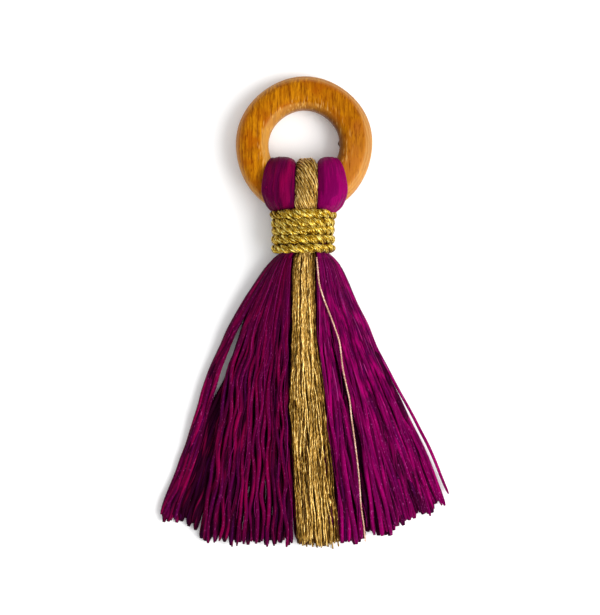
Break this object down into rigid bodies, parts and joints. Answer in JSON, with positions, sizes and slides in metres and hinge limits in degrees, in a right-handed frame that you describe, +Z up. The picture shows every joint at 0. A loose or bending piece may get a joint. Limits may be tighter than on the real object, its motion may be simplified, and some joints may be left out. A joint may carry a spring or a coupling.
{
  "type": "tassel",
  "caption": "Tassel of purple and gold yarn looped over a wooden ring, bound with gold cord and cut to a flared fringe, lying flat.",
  "frame": {"origin": "on the surface, under the middle of the tassel's box as it lies", "axes": "+Y from the fringe towards the ring, +X to the right seen from the front, +Z up from the surface"},
  "size_m": [0.0867, 0.1375, 0.0161],
  "materials": {
    "varnished_wood": "satin varnish",
    "purple_floss": "soft sheen",
    "gold_thread": "metallic thread",
    "gold_cord": "metallic twisted cord"
  },
  "bodies": {
    "root": {"ring": "varnished_wood", "hank_purple_left": "purple_floss", "hank_gold": "gold_thread", "hank_purple_right": "purple_floss", "binding_cord": "gold_cord", "stray_thread": "gold_thread"}
  },
  "joints": []
}
